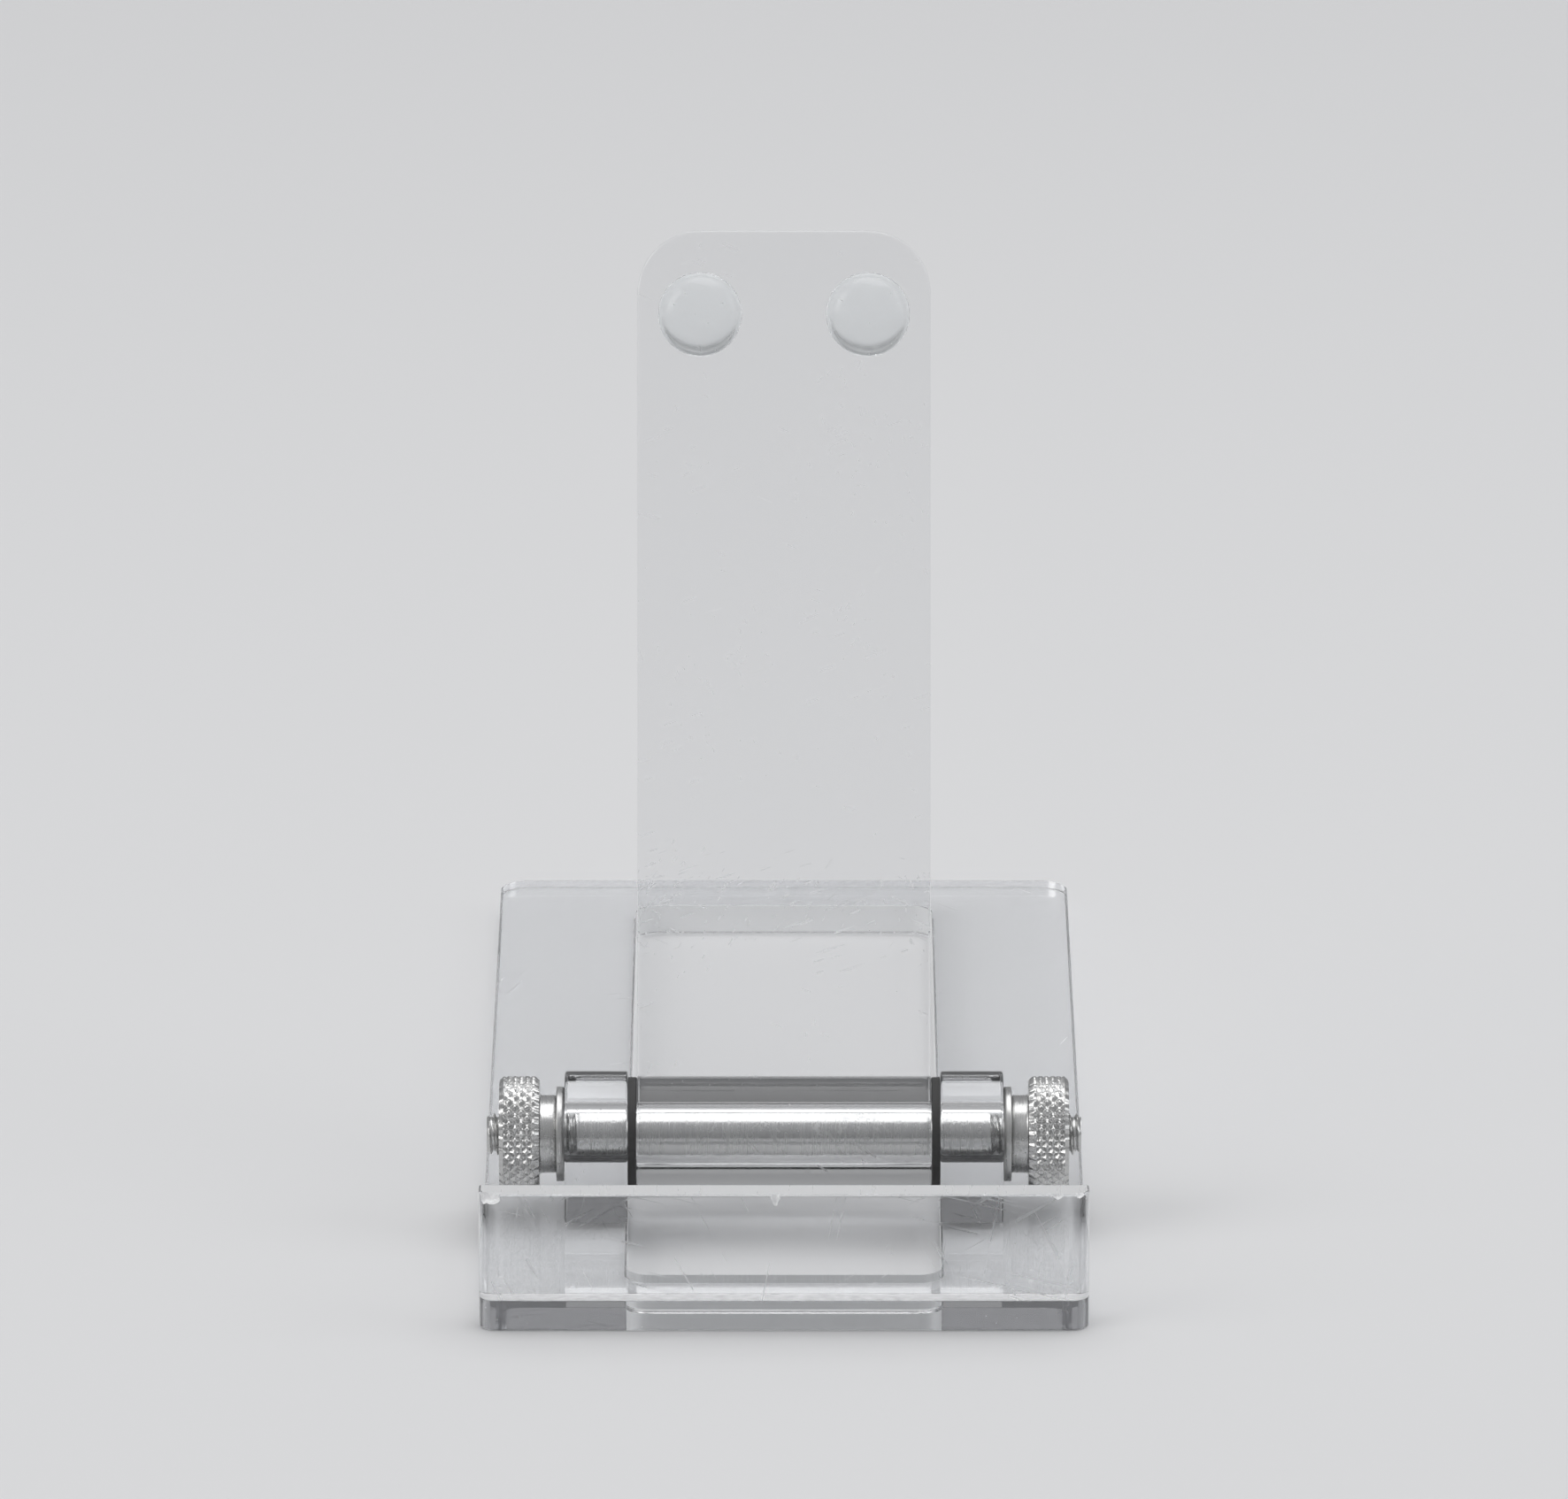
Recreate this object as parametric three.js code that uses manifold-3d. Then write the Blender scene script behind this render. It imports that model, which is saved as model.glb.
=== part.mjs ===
// Small display stand for a plate: a clear acrylic base frame with an upright front lip, and a back rest on
// a friction-clamped hinge that folds back into the frame's opening.
// Millimetres. +X is to the right seen from the front, +Y points to the back and +Z up.
// The origin is on the table, in the middle of the base.
import * as THREE from "three";
import { mergeVertices } from "three/addons/utils/BufferGeometryUtils.js";
import Module from "manifold-3d";

const wasm = await Module();
wasm.setup();

// ---- Driving dimensions ----
const SHEET = 3; // thickness of the acrylic sheet
const WIDTH = 57;
const DEPTH = 124;
const LIP_HEIGHT = 10.5; // above the base
const FRONT_CORNER_R = 1.6; // outer front corners of the base and the lip, seen from above
const BACK_CORNER_R = 3;
const FRONT_BAR = 8.3; // depth of the bar in front of the opening
const BACK_BAR = 8;
const OPENING_WIDTH = 29.6;
const OPENING_CORNER_R = 2.2;

const PIVOT_BEHIND_FRONT = 28.5; // hinge axis, from the front face of the lip
const PIVOT_HEIGHT = 9.5; // hinge axis, above the table
const LEAN = THREE.MathUtils.degToRad(18); // of the back rest, back from upright

const CHEEK_THICKNESS = 6;
const CHEEK_R = 6; // round top of a cheek, about the hinge axis
const WASHER_THICKNESS = 0.8;
const STEEL_WASHER_R = 4.5;
const FRICTION_WASHER_R = 5.4;

const ROD_R = 2; // M4 rod
const ROD_LENGTH = 56.4;
const ROD_CHAMFER = 0.4;
const BORE_R = ROD_R + 0.1; // running clearance through the acrylic and the washers
const TAPPED_R = ROD_R + 0.05; // the thumb nuts' thread

const NUT_R = 5.5;
const NUT_RIM_WIDTH = 3.8;
const NUT_CHAMFER = 0.35;
const NUT_BOSS_R = 3.7;
const NUT_BOSS_LENGTH = 1.6;
const KNURL_TEETH = 36;
const KNURL_DEPTH = 0.3;

const REST_WIDTH = 28;
const REST_LENGTH = 86; // above the hinge axis
const REST_FOOT = 1.8; // below the hinge axis
const REST_OFFSET = 6; // front face of the rest, behind the hinge axis
const REST_TOP_R = 6;
const REST_FOOT_R = 0.8;
const KNUCKLE_R = 5.5;

const BUMPER_R = 4;
const BUMPER_HEIGHT = 1.8;
const BUMPER_SPACING = 16;
const BUMPER_BELOW_TOP = 8;

const SIDES = [
  ["left", -1],
  ["right", 1],
];
const ARC_STEPS = 8; // steps in a quarter-round corner
const ROUND_STEPS = 48; // steps in a full circle
const MERGE_DISTANCE = 1e-4; // vertices nearer than this are one vertex

// Worked out from the sizes above
const FRONT_Y = -DEPTH / 2;
const PIVOT_Y = FRONT_Y + PIVOT_BEHIND_FRONT;
const CHEEK_INNER_X = OPENING_WIDTH / 2;
const CHEEK_OUTER_X = CHEEK_INNER_X + CHEEK_THICKNESS;
const NUT_INNER_X = CHEEK_OUTER_X + WASHER_THICKNESS;

// ---- Materials ----
function material(color, roughness, metalness, opacity = 1) {
  return new THREE.MeshStandardMaterial({ color, roughness, metalness, opacity, transparent: opacity < 1 });
}
const clearAcrylic = () => material(0xdde3ea, 0.06, 0, 0.35);
const stainlessSteel = () => material(0xb9bbbd, 0.3, 1);
const fibre = () => material(0x2a2a2b, 0.7, 0);
const silicone = () => material(0xe4e6e6, 0.35, 0, 0.6);

// ---- Geometry helpers ----

// A rectangle from (x0, y0) to (x1, y1) with a radius at each corner, anticlockwise from the bottom right.
function roundedRectangle(path, x0, y0, x1, y1, [bottomRight, topRight, topLeft, bottomLeft]) {
  const quarter = Math.PI / 2;
  path.moveTo(x0 + bottomLeft, y0);
  path.lineTo(x1 - bottomRight, y0);
  if (bottomRight) path.absarc(x1 - bottomRight, y0 + bottomRight, bottomRight, -quarter, 0, false);
  path.lineTo(x1, y1 - topRight);
  if (topRight) path.absarc(x1 - topRight, y1 - topRight, topRight, 0, quarter, false);
  path.lineTo(x0 + topLeft, y1);
  if (topLeft) path.absarc(x0 + topLeft, y1 - topLeft, topLeft, quarter, 2 * quarter, false);
  path.lineTo(x0, y0 + bottomLeft);
  if (bottomLeft) {
    path.absarc(x0 + bottomLeft, y0 + bottomLeft, bottomLeft, 2 * quarter, 3 * quarter, false);
  }
  return path;
}

// A full circle as a hole of a shape.
function circle(x, y, radius) {
  return new THREE.Path().absarc(x, y, radius, 0, 2 * Math.PI, true);
}

// A shape pushed straight out to a thickness, with no bevel.
function slab(shape, thickness, curveSegments = ARC_STEPS) {
  return new THREE.ExtrudeGeometry(shape, { depth: thickness, bevelEnabled: false, curveSegments });
}

// Turns a slab drawn in the (Y, Z) plane so that its thickness runs along +X, and moves it to x.
function alongX(geometry, x) {
  const turn = new THREE.Matrix4().makeBasis(
    new THREE.Vector3(0, 1, 0),
    new THREE.Vector3(0, 0, 1),
    new THREE.Vector3(1, 0, 0),
  );
  return geometry.applyMatrix4(turn).translate(x, 0, 0);
}

// A profile of [radius, distance] points turned about the X axis.
function turnedAboutX(points) {
  const profile = points.map(([radius, along]) => new THREE.Vector2(radius, along));
  return new THREE.LatheGeometry(profile, ROUND_STEPS).rotateZ(-Math.PI / 2);
}

function disc(radius, thickness) {
  return slab(new THREE.Shape().absarc(0, 0, radius, 0, 2 * Math.PI, false), thickness, ROUND_STEPS / 2);
}

function ring(outerR, innerR, thickness) {
  const shape = new THREE.Shape().absarc(0, 0, outerR, 0, 2 * Math.PI, false);
  shape.holes.push(circle(0, 0, innerR));
  return alongX(slab(shape, thickness, ROUND_STEPS / 2), -thickness / 2);
}

// ---- Booleans ----
function toSolid(geometry) {
  const bare = geometry.clone();
  bare.deleteAttribute("normal");
  bare.deleteAttribute("uv");
  const merged = mergeVertices(bare, MERGE_DISTANCE);
  return new wasm.Manifold(
    new wasm.Mesh({
      numProp: 3,
      vertProperties: new Float32Array(merged.attributes.position.array),
      triVerts: new Uint32Array(merged.index.array),
    }),
  );
}

function toGeometry(solid) {
  const mesh = solid.getMesh();
  const geometry = new THREE.BufferGeometry();
  geometry.setAttribute("position", new THREE.BufferAttribute(new Float32Array(mesh.vertProperties), 3));
  geometry.setIndex(new THREE.BufferAttribute(new Uint32Array(mesh.triVerts), 1));
  geometry.computeVertexNormals();
  return geometry;
}

// ---- Parts ----

// The sheet that lies on the table: two side rails joined by a front bar and a back bar.
function baseFrame() {
  const half = WIDTH / 2;
  const shape = roundedRectangle(new THREE.Shape(), -half, FRONT_Y, half, -FRONT_Y, [
    FRONT_CORNER_R,
    BACK_CORNER_R,
    BACK_CORNER_R,
    FRONT_CORNER_R,
  ]);
  const corners = [OPENING_CORNER_R, OPENING_CORNER_R, OPENING_CORNER_R, OPENING_CORNER_R];
  const halfOpening = OPENING_WIDTH / 2;
  const opening = new THREE.Path();
  roundedRectangle(opening, -halfOpening, FRONT_Y + FRONT_BAR, halfOpening, -FRONT_Y - BACK_BAR, corners);
  shape.holes.push(opening);
  return slab(shape, SHEET);
}

// The strip that stands on the base's front edge and keeps the plate from sliding off.
function frontLip() {
  const half = WIDTH / 2;
  const corners = [FRONT_CORNER_R, 0, 0, FRONT_CORNER_R];
  const shape = roundedRectangle(new THREE.Shape(), -half, FRONT_Y, half, FRONT_Y + SHEET, corners);
  return slab(shape, LIP_HEIGHT).translate(0, 0, SHEET);
}

// A block on a side rail, round at the top, bored for the rod. Drawn about the hinge axis.
function hingeCheek(innerX) {
  const shape = new THREE.Shape();
  shape.moveTo(-CHEEK_R, SHEET - PIVOT_HEIGHT);
  shape.lineTo(CHEEK_R, SHEET - PIVOT_HEIGHT);
  shape.lineTo(CHEEK_R, 0);
  shape.absarc(0, 0, CHEEK_R, 0, Math.PI, false);
  shape.holes.push(circle(0, 0, BORE_R));
  return alongX(slab(shape, CHEEK_THICKNESS, ROUND_STEPS / 2), innerX);
}

// The block on the foot of the back rest that turns on the rod, round at the front.
function hingeKnuckle() {
  const shape = new THREE.Shape();
  shape.moveTo(REST_OFFSET, -KNUCKLE_R);
  shape.lineTo(REST_OFFSET, KNUCKLE_R);
  shape.lineTo(0, KNUCKLE_R);
  shape.absarc(0, 0, KNUCKLE_R, Math.PI / 2, (3 * Math.PI) / 2, false);
  shape.holes.push(circle(0, 0, BORE_R));
  return alongX(slab(shape, REST_WIDTH, ROUND_STEPS / 2), -REST_WIDTH / 2);
}

// The tall sheet that the back of the plate leans on.
function backRest() {
  const half = REST_WIDTH / 2;
  const corners = [REST_FOOT_R, REST_TOP_R, REST_TOP_R, REST_FOOT_R];
  const shape = roundedRectangle(new THREE.Shape(), -half, -REST_FOOT, half, REST_LENGTH, corners);
  return slab(shape, SHEET)
    .rotateX(Math.PI / 2)
    .translate(0, REST_OFFSET + SHEET, 0);
}

// A soft domed pad, its flat side on the front face of the back rest.
function bumper() {
  const points = [new THREE.Vector2(0, 0), new THREE.Vector2(BUMPER_R, 0)];
  for (let i = 1; i < ARC_STEPS; i++) {
    const angle = (i / ARC_STEPS) * (Math.PI / 2);
    points.push(new THREE.Vector2(BUMPER_R * Math.cos(angle), BUMPER_HEIGHT * Math.sin(angle)));
  }
  points.push(new THREE.Vector2(0, BUMPER_HEIGHT));
  return new THREE.LatheGeometry(points, ROUND_STEPS / 2).rotateX(Math.PI);
}

// The rod through both cheeks and the knuckle, plain where it is threaded on the real one.
function clampRod() {
  const end = ROD_LENGTH / 2;
  return turnedAboutX([
    [0, -end],
    [ROD_R - ROD_CHAMFER, -end],
    [ROD_R, -end + ROD_CHAMFER],
    [ROD_R, end - ROD_CHAMFER],
    [ROD_R - ROD_CHAMFER, end],
    [0, end],
  ]);
}

// A knurled rim with a smaller boss on its inner side. The boss's face is at x = 0 and the rim is outwards.
function thumbNut() {
  const rim = new THREE.Shape();
  for (let i = 0; i < 2 * KNURL_TEETH; i++) {
    const radius = NUT_R - NUT_CHAMFER - (i % 2 ? KNURL_DEPTH : 0);
    const angle = (i * Math.PI) / KNURL_TEETH;
    rim.lineTo(radius * Math.cos(angle), radius * Math.sin(angle));
  }
  const chamferedRim = new THREE.ExtrudeGeometry(rim, {
    depth: NUT_RIM_WIDTH - 2 * NUT_CHAMFER,
    bevelThickness: NUT_CHAMFER,
    bevelSize: NUT_CHAMFER,
    bevelSegments: 1,
  });
  const boss = disc(NUT_BOSS_R, NUT_BOSS_LENGTH + NUT_RIM_WIDTH / 2);
  const hole = disc(TAPPED_R, 4 * NUT_RIM_WIDTH);
  const solid = toSolid(alongX(chamferedRim, NUT_BOSS_LENGTH + NUT_CHAMFER))
    .add(toSolid(alongX(boss, 0)))
    .subtract(toSolid(alongX(hole, -NUT_RIM_WIDTH)));
  return toGeometry(solid);
}

// ---- Assembly ----
const stand = new THREE.Group();

function place(parent, name, geometry, material, x = 0, y = 0, z = 0) {
  const mesh = new THREE.Mesh(geometry, material);
  mesh.name = name;
  mesh.position.set(x, y, z);
  parent.add(mesh);
  return mesh;
}

place(stand, "base_frame", baseFrame(), clearAcrylic());
place(stand, "front_lip", frontLip(), clearAcrylic());

const hinge = new THREE.Group();
hinge.position.set(0, PIVOT_Y, PIVOT_HEIGHT);
stand.add(hinge);
place(hinge, "clamp_rod", clampRod(), stainlessSteel());
for (const [side, sign] of SIDES) {
  const cheekX = sign < 0 ? -CHEEK_OUTER_X : CHEEK_INNER_X;
  place(hinge, `hinge_cheek_${side}`, hingeCheek(cheekX), clearAcrylic());
  const frictionWasher = ring(FRICTION_WASHER_R, BORE_R, WASHER_THICKNESS);
  const frictionX = sign * (CHEEK_INNER_X - WASHER_THICKNESS / 2);
  place(hinge, `friction_washer_${side}`, frictionWasher, fibre(), frictionX);
  const steelWasher = ring(STEEL_WASHER_R, BORE_R, WASHER_THICKNESS);
  const steelX = sign * (CHEEK_OUTER_X + WASHER_THICKNESS / 2);
  place(hinge, `steel_washer_${side}`, steelWasher, stainlessSteel(), steelX);
  const nut = place(hinge, `thumb_nut_${side}`, thumbNut(), stainlessSteel(), sign * NUT_INNER_X);
  if (sign < 0) nut.rotation.z = Math.PI;
}

const backSupport = new THREE.Group();
backSupport.rotation.x = -LEAN;
hinge.add(backSupport);
place(backSupport, "back_rest", backRest(), clearAcrylic());
place(backSupport, "hinge_knuckle", hingeKnuckle(), clearAcrylic());
for (const [side, sign] of SIDES) {
  const x = (sign * BUMPER_SPACING) / 2;
  const height = REST_LENGTH - BUMPER_BELOW_TOP;
  place(backSupport, `bumper_${side}`, bumper(), silicone(), x, REST_OFFSET, height);
}

export default stand;
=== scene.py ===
import math

import bmesh
import bpy
from mathutils import Matrix, Vector, noise


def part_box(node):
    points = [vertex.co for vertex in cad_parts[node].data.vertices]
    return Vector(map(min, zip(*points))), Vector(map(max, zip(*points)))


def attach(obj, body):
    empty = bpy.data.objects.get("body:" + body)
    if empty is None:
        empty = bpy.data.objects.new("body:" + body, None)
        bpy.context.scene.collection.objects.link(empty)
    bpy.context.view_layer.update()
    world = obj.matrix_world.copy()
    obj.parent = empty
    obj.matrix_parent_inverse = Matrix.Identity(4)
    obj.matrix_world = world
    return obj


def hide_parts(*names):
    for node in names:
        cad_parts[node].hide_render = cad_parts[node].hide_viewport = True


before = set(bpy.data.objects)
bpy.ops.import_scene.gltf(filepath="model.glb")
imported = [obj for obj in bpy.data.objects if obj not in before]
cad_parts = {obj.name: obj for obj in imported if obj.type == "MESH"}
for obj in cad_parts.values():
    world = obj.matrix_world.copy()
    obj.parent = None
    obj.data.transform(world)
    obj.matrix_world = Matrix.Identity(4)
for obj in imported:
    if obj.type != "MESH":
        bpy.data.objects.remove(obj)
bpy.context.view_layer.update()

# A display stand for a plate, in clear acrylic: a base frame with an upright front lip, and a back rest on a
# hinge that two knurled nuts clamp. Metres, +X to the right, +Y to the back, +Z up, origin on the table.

MM = 0.001
TURN = 2 * math.pi
QUARTER = TURN / 4
ARC_MIDDLE = 1 - math.sin(QUARTER / 2)  # how far in the middle of a quarter round lies, for a radius of 1

# ---- Sizes that the CAD boxes don't give ----
FRONT_CORNER_R = 1.6 * MM
BACK_CORNER_R = 3.0 * MM
LIP_BACK_CORNER_R = 0.25 * MM
OPENING_CORNER_R = 2.2 * MM
FRONT_BAR = 8.3 * MM
BACK_BAR = 8.0 * MM
LEAN = math.radians(18)
REST_TOP_R = 6.0 * MM
REST_FOOT_R = 0.8 * MM
REST_OFFSET = 6.0 * MM  # its front face, behind the hinge axis
REST_FOOT = 1.8 * MM  # below the hinge axis
REST_LENGTH = 86.0 * MM  # above the hinge axis
KNUCKLE_R = 5.5 * MM
BORE_CLEARANCE = 0.1 * MM
EDGE_R = 0.22 * MM  # the flame-polished edge of a sheet
SEAM_EDGE_R = 0.05 * MM  # an edge left almost square
SEAM = 0.015 * MM  # the cement layer
REST_EDGE_Z = EDGE_R - REST_FOOT  # where the flat front of the back rest starts, above the hinge axis

THREAD_PITCH = 0.7 * MM
THREAD_DEPTH = 0.38 * MM
THREAD_CREST = 1.25  # a wider crest above 1
THREAD_FLANK = 2.0  # a steeper flank
THREAD_ROWS = 10  # mesh rows in one pitch
ROD_CHAMFER = 0.45 * MM
ROD_CHAMFER_DEPTH = 0.8 * ROD_CHAMFER

NUT_BOSS_R = 3.7 * MM
NUT_BOSS_LENGTH = 1.6 * MM
NUT_BOSS_EDGE_R = 0.2 * MM
NUT_FILLET_R = 0.25 * MM  # where the boss meets the rim
NUT_RIM_INSET = 0.1 * MM  # of the knurl's crests, inside the CAD box
NUT_CHAMFER = 0.4 * MM
NUT_RECESS = 0.25 * MM
NUT_RECESS_R = 3.8 * MM
NUT_RECESS_FLOOR_R = 3.55 * MM
NUT_BORE_CLEARANCE = 0.05 * MM
NUT_LEAD_IN = 0.3 * MM
NUT_MOUTH = 0.35 * MM  # the chamfer of the bore at the recess
KNURLS = 30
KNURL_DEPTH = 0.32 * MM
KNURL_FLANK = 2.6
KNURL_ROWS = 28

BUMPER_R = 4.0 * MM
BUMPER_HEIGHT = 1.8 * MM
BUMPER_X = 8.0 * MM
BUMPER_UP = 78.0 * MM  # above the hinge axis, along the back rest
BUMPER_FLANGE = 0.4 * MM
BUMPER_FOOT_EDGE = 0.1 * MM
BUMPER_FLANGE_EDGE = 0.25 * MM  # how far its edge slopes in, and the height where the slope starts
BUMPER_CROWN_R = BUMPER_R - 0.35 * MM
BUMPER_TOP_R = 0.5 * MM

# ---- Fineness of the meshes ----
ARC_STEPS = 14  # in a quarter circle
ROUND_STEPS = 96  # in a full circle
ROD_STEPS = 48
NUT_STEPS = 240
BUMPER_STEPS = 48
BUMPER_ROWS = 12
BLOCK_STEP = 0.8 * MM
FLAT_SHARE = 8  # a face this many times larger than its neighbour keeps its flat shading
FLAT_TURN = math.radians(0.3)
SAME_PLANE = 0.001 * MM

# ---- Places, from the frame ----
BASE_LOW, BASE_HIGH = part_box("base_frame")
LIP_LOW, LIP_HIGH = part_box("front_lip")
ROD_LOW, ROD_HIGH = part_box("clamp_rod")
PIVOT = (Vector(ROD_LOW) + Vector(ROD_HIGH)) / 2
ROD_R = (ROD_HIGH[2] - ROD_LOW[2]) / 2
CHEEK_INNER_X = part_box("hinge_cheek_right")[0][0]
CHEEK_OUTER_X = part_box("hinge_cheek_right")[1][0]
SHEET = BASE_HIGH[2] - BASE_LOW[2]

# ---- Looks ----
ACRYLIC_IOR = 1.49
SILICONE_IOR = 1.41
DEPTH_TINT = (0.1, 0.105, 0.13, 1)
DEPTH_DENSITY = 8.6
LIGHT_BOUNCES = 40


# ---- Outlines: closed lists of 2D points, anticlockwise ----

def arc(centre, radius, start, end, steps=ARC_STEPS):
    """Points on an arc, both ends included."""
    return [
        (centre[0] + radius * math.cos(a), centre[1] + radius * math.sin(a))
        for a in (start + (end - start) * i / steps for i in range(steps + 1))
    ]


def rounded_rectangle(x0, y0, x1, y1, radii):
    """radii: bottom right, top right, top left, bottom left. Every corner has the same number of points."""
    corners = (
        (x1, y0, -1, 1, -QUARTER),
        (x1, y1, -1, -1, 0.0),
        (x0, y1, 1, -1, QUARTER),
        (x0, y0, 1, 1, 2 * QUARTER),
    )
    points = []
    for (x, y, dx, dy, start), radius in zip(corners, radii):
        points += arc((x + dx * radius, y + dy * radius), radius, start, start + QUARTER)
    return points


def inset(points, distance):
    """The outline moved inwards by distance, with mitred corners."""
    result = []
    for i, point in enumerate(points):
        before = Vector(point) - Vector(points[i - 1])
        after = Vector(points[(i + 1) % len(points)]) - Vector(point)
        n1 = Vector((-before.y, before.x)).normalized()
        n2 = Vector((-after.y, after.x)).normalized()
        mitre = (n1 + n2) / (1 + n1.dot(n2))
        result.append(tuple(Vector(point) + mitre * distance))
    return result


def rounded_edge(radius, steps=3):
    """(inset, distance from the face) pairs on a quarter round, from the face to the wall."""
    return [
        (radius * (1 - math.sin(a)), radius * (1 - math.cos(a)))
        for a in (QUARTER * i / steps for i in range(steps + 1))
    ]


def hole_to_match(outline, radius):
    """A round hole about the origin with a point opposite each point of the outline."""
    return [
        (radius * math.cos(a), radius * math.sin(a))
        for a in (math.atan2(y, x) for x, y in outline)
    ]


def spread(points, longest):
    """The outline with its long straight stretches cut up."""
    result = []
    for i, start in enumerate(points):
        end = points[(i + 1) % len(points)]
        steps = max(1, math.ceil(math.dist(start, end) / longest))
        for k in range(steps):
            t = k / steps
            result.append((start[0] + (end[0] - start[0]) * t, start[1] + (end[1] - start[1]) * t))
    return result


# ---- Places in the frame ----

def upright(x, y, z):
    return Vector((x, y, z))


def sideways(y, z, x):
    """The place of a profile drawn in the (Y, Z) plane about the hinge axis, and pushed along X."""
    return Vector((x, PIVOT.y + y, PIVOT.z + z))


def leaning(point):
    """From the back rest's own axes, upright about the hinge axis, to the frame."""
    return Matrix.Rotation(-LEAN, 3, "X") @ Vector(point) + PIVOT


def unleaning(point):
    """From the frame to the back rest's own axes."""
    return Matrix.Rotation(LEAN, 3, "X") @ (Vector(point) - PIVOT)


def ring(x, radius_at, steps):
    """A loop of points about the hinge axis. radius_at gives the radius at an angle."""
    angles = [TURN * j / steps for j in range(steps)]
    return [sideways(radius_at(a) * math.cos(a), radius_at(a) * math.sin(a), x) for a in angles]


# ---- Meshes ----

def finish_mesh(name, bm, materials, body, replaced):
    """Makes an object of bm, gives it its materials, and rides it on its body."""
    mesh = bpy.data.meshes.new(name)
    bm.to_mesh(mesh)
    bm.free()
    piece = bpy.data.objects.new(name, mesh)
    bpy.context.scene.collection.objects.link(piece)
    for material in materials:
        mesh.materials.append(material)
    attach(piece, body)
    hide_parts(replaced)
    return piece


def crease(bm, sharp_angle):
    """Smooth faces, with a crease at sharp edges, at changes of material and round large flat faces."""
    bm.normal_update()
    for face in bm.faces:
        face.smooth = True
    for edge in bm.edges:
        if len(edge.link_faces) != 2:
            continue
        one, other = edge.link_faces
        small, large = sorted((one.calc_area(), other.calc_area()))
        turn = edge.calc_face_angle(0.0)
        beside_flat = large > FLAT_SHARE * small and turn > FLAT_TURN
        if beside_flat or turn > sharp_angle or one.material_index != other.material_index:
            edge.smooth = False


def loft(loops, sharp_loops=(), closed=False, sharp_angle=math.radians(35)):
    """A surface through loops of 3D points of equal number. Not closed: the first and last loops are capped.
    Loops in sharp_loops get a crease, and so does every edge that turns more than sharp_angle."""
    bm = bmesh.new()
    rings = [[bm.verts.new(p) for p in loop] for loop in loops]
    count = len(rings[0])
    pairs = list(zip(rings, rings[1:]))
    if closed:
        pairs.append((rings[-1], rings[0]))
    for low, high in pairs:
        for j in range(count):
            k = (j + 1) % count
            bm.faces.new((low[j], low[k], high[k], high[j]))
    if not closed:
        bm.faces.new(list(reversed(rings[0])))
        bm.faces.new(rings[-1])
    crease(bm, sharp_angle)
    for index in sharp_loops:
        for j in range(count):
            edge = bm.edges.get((rings[index][j], rings[index][(j + 1) % count]))
            if edge:
                edge.smooth = False
    return bm


def prism(outline, low, high, place, hole=None, low_edge=EDGE_R, high_edge=EDGE_R):
    """An outline pushed from low to high, with rounded edges and perhaps a hole that has the same number of
    points. place turns (x, y, height) into a 3D point."""
    bottom = [(d, low + h) for d, h in rounded_edge(low_edge)]
    top = [(d, high - h) for d, h in reversed(rounded_edge(high_edge))]
    levels = bottom + top
    loops = [[place(x, y, z) for x, y in inset(outline, d)] for d, z in levels]
    last = len(levels) - 1
    middle = len(bottom)
    sharp = [0, middle - 1, middle, last]
    if hole:
        for d, z in reversed(levels):
            loops.append([place(x, y, z) for x, y in inset(hole, -d)])
        sharp += [last + 1 + s for s in (0, last - middle, last - middle + 1, last)]
    return loft(loops, sharp, closed=hole is not None)


def round_solid(loops, closed=True, sharp_angle=math.radians(35)):
    """A loft whose faces are made to point outwards."""
    bm = loft(loops, closed=closed, sharp_angle=sharp_angle)
    bmesh.ops.recalc_face_normals(bm, faces=bm.faces)
    return bm


def cement_patch(bm, axis, level, low, high, back=Vector):
    """Gives the flat faces at level along axis, cut to the box from low to high, the second material.
    back turns a point into the axes in which the axis, the level and the box are given."""
    tolerance = 2 * SAME_PLANE
    across = [i for i in range(3) if i != axis]
    for cut in across:
        for limit in (low[cut], high[cut]):
            flat = [f for f in bm.faces if all(abs(back(v.co)[axis] - level) < tolerance for v in f.verts)]
            geometry = list({e for f in flat for e in f.edges} | {v for f in flat for v in f.verts}) + flat
            point, tip = Vector((0, 0, 0)), Vector((0, 0, 0))
            point[cut] = limit
            tip[cut] = limit + 1
            origin = from_back(back, point)
            direction = from_back(back, tip) - origin
            bmesh.ops.bisect_plane(bm, geom=geometry, plane_co=origin, plane_no=direction, dist=1e-8)
    for face in bm.faces:
        if any(abs(back(v.co)[axis] - level) > tolerance for v in face.verts):
            continue
        centre = back(face.calc_center_median())
        if all(low[i] < centre[i] < high[i] for i in across):
            face.material_index = 1


def from_back(back, point):
    """The inverse of a rigid map back, at point."""
    origin = back(Vector((0, 0, 0)))
    rows = [back(Vector(axis)) - origin for axis in ((1, 0, 0), (0, 1, 0), (0, 0, 1))]
    return Matrix(rows) @ (point - origin)


# ---- Materials ----

def new_material(name):
    """A material with one Principled shader: gives the material, its node tree, shader and output."""
    material = bpy.data.materials.new(name)
    material.use_nodes = True
    tree = material.node_tree
    tree.nodes.clear()
    output = tree.nodes.new("ShaderNodeOutputMaterial")
    shader = tree.nodes.new("ShaderNodeBsdfPrincipled")
    tree.links.new(shader.outputs["BSDF"], output.inputs["Surface"])
    return material, tree, shader, output


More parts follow.
